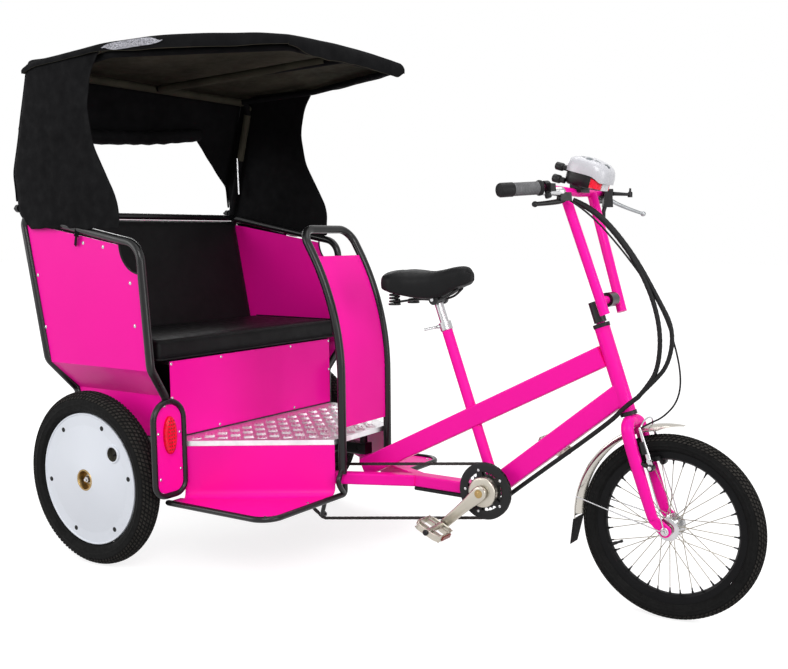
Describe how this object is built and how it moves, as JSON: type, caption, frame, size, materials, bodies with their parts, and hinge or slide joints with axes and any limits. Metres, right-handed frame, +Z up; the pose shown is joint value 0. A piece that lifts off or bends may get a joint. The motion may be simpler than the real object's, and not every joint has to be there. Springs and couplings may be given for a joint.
{
  "type": "electric pedicab tricycle",
  "caption": "Electric passenger tricycle with a steered front bicycle frame, hooded two-seat cabin and disc rear wheels.",
  "frame": {"origin": "on the ground under the middle of the overall length and width", "axes": "+X forward, +Y to the rider's left, +Z up"},
  "size_m": [2.3419, 1.08, 1.6338],
  "materials": {
    "pink_paint": "gloss powder coat",
    "black_paint": "gloss powder coat",
    "motor_metal": "cast",
    "black_plastic": "moulded",
    "bright_steel": "satin",
    "saddle_vinyl": "grained vinyl",
    "seat_vinyl": "grained vinyl",
    "chain_steel": "oiled",
    "canvas": "coated canvas",
    "red_lens": "clear red",
    "tread_plate": "embossed bright",
    "cable_rubber": "sheathed",
    "grip_rubber": "ribbed",
    "white_plastic": "moulded",
    "mudguard_metal": "polished",
    "tyre": "road tread",
    "black_rim": "anodised",
    "white_disc": "moulded cover",
    "crank_metal": "polished",
    "pedal_metal": "cast"
  },
  "bodies": {
    "chassis": {"bicycle_frame": "pink_paint", "rear_subframe": "black_paint", "rear_axle": "black_paint", "drive_motor": "motor_metal", "battery_pack": "black_plastic", "seat_post": "bright_steel", "saddle": "saddle_vinyl", "saddle_springs": "black_plastic", "chains": "chain_steel", "jackshaft": "chain_steel", "tensioner": "black_paint", "headset": "black_plastic", "cabin_tubes": "black_paint", "side_panel_left": "pink_paint", "side_panel_right": "pink_paint", "step_left": "pink_paint", "step_right": "pink_paint", "edge_tubes": "black_paint", "lamp_panels": "pink_paint", "tail_lamps": "red_lens", "hood_side_left": "canvas", "hood_side_right": "canvas", "seat_box": "black_paint", "seat_front_panel": "pink_paint", "seat_cushion": "seat_vinyl", "backrest": "seat_vinyl", "rear_panel": "pink_paint", "floor_plate": "tread_plate", "shield_tubes": "black_paint", "shield_panel": "pink_paint", "hood_roof": "canvas", "hood_rear": "canvas", "hood_frame": "black_paint", "hood_knobs": "black_plastic", "frame_cables": "cable_rubber"},
    "steering": {"fork": "pink_paint", "stem": "black_paint", "handlebar": "pink_paint", "grips": "grip_rubber", "brake_levers": "bright_steel", "lamp_pod": "white_plastic", "front_mudguard": "mudguard_metal", "mudguard_stays": "bright_steel", "mudguard_flap": "black_plastic", "front_brake": "black_paint", "steering_cables": "cable_rubber"},
    "front_wheel": {"front_tyre": "tyre", "front_rim": "black_rim", "front_hub_spokes": "bright_steel"},
    "left_wheel": {"rear_tyre_left": "tyre", "rear_wheel_left": "white_disc"},
    "right_wheel": {"rear_tyre_right": "tyre", "rear_wheel_right": "white_disc"},
    "crank": {"crankset": "crank_metal", "chainring": "black_paint"},
    "left_pedal": {"pedal_left": "pedal_metal"},
    "right_pedal": {"pedal_right": "pedal_metal"}
  },
  "joints": [
    {"name": "steering_turn", "type": "hinge", "parent": "chassis", "child": "steering", "pos_m": [0.782, 0, 0.564], "axis": [-0.3348, 0, 0.9423], "range_deg": [-45, 45], "deforming": ["steering_cables"]},
    {"name": "front_wheel_spin", "type": "hinge", "parent": "steering", "child": "front_wheel", "pos_m": [0.914, 0, 0.257], "axis": [0, 1, 0], "continuous": true},
    {"name": "left_wheel_spin", "type": "hinge", "parent": "chassis", "child": "left_wheel", "pos_m": [-0.813, 0.5, 0.279], "axis": [0, 1, 0], "continuous": true},
    {"name": "right_wheel_spin", "type": "hinge", "parent": "chassis", "child": "right_wheel", "pos_m": [-0.813, -0.5, 0.279], "axis": [0, 1, 0], "continuous": true},
    {"name": "crank_spin", "type": "hinge", "parent": "chassis", "child": "crank", "pos_m": [0.367, 0, 0.297], "axis": [0, 1, 0], "continuous": true},
    {"name": "left_pedal_spin", "type": "hinge", "parent": "crank", "child": "left_pedal", "pos_m": [0.4896, 0.15, 0.4074], "axis": [0, 1, 0], "continuous": true},
    {"name": "right_pedal_spin", "type": "hinge", "parent": "crank", "child": "right_pedal", "pos_m": [0.2444, -0.15, 0.1866], "axis": [0, 1, 0], "continuous": true}
  ]
}
